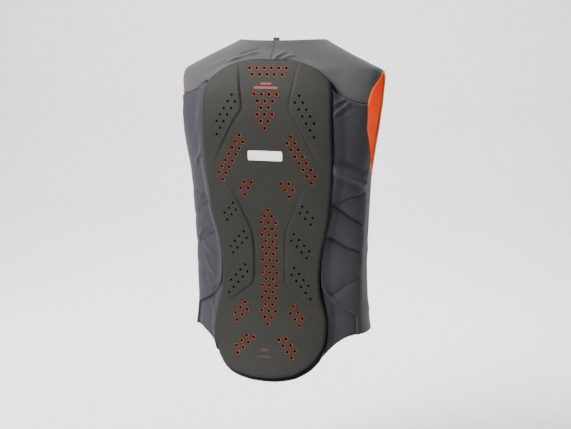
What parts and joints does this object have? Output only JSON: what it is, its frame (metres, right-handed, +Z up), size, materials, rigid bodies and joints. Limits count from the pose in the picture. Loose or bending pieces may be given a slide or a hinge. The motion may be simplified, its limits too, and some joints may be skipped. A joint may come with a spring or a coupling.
{
  "type": "protective vest",
  "caption": "Sleeveless protective vest with a perforated foam back protector, stretch side panels, front closure and a contrasting lining.",
  "frame": {"origin": "midway between the high points of the shoulders, where the shoulders meet the neckline", "axes": "+Z up along the wearer's spine, +Y the way that the wearer faces, +X towards the wearer's right arm; the protector is on the -Y side"},
  "size_m": [0.4178, 0.2256, 0.6744],
  "materials": {
    "foam": "matte dark olive grey foam with a fine skin",
    "orange_foam": "matte orange foam",
    "grey_cloth": "mid grey knitted stretch fabric",
    "dark_cloth": "dark grey stretch fabric with a slight sheen",
    "orange_cloth": "orange knitted lining",
    "zip": "dark zip",
    "tape": "dark woven tape"
  },
  "bodies": {
    "root": {"back_panel_outer": "foam", "back_panel_inner": "orange_foam", "back_base": "dark_cloth", "yoke_right": "grey_cloth", "yoke_left": "grey_cloth", "side_back_right": "dark_cloth", "side_back_left": "dark_cloth", "front_right": "grey_cloth", "front_left": "grey_cloth", "front_zip": "zip", "lining": "orange_cloth", "armhole_binding_right": "orange_cloth", "armhole_binding_left": "orange_cloth", "hang_loop": "tape"}
  },
  "joints": []
}
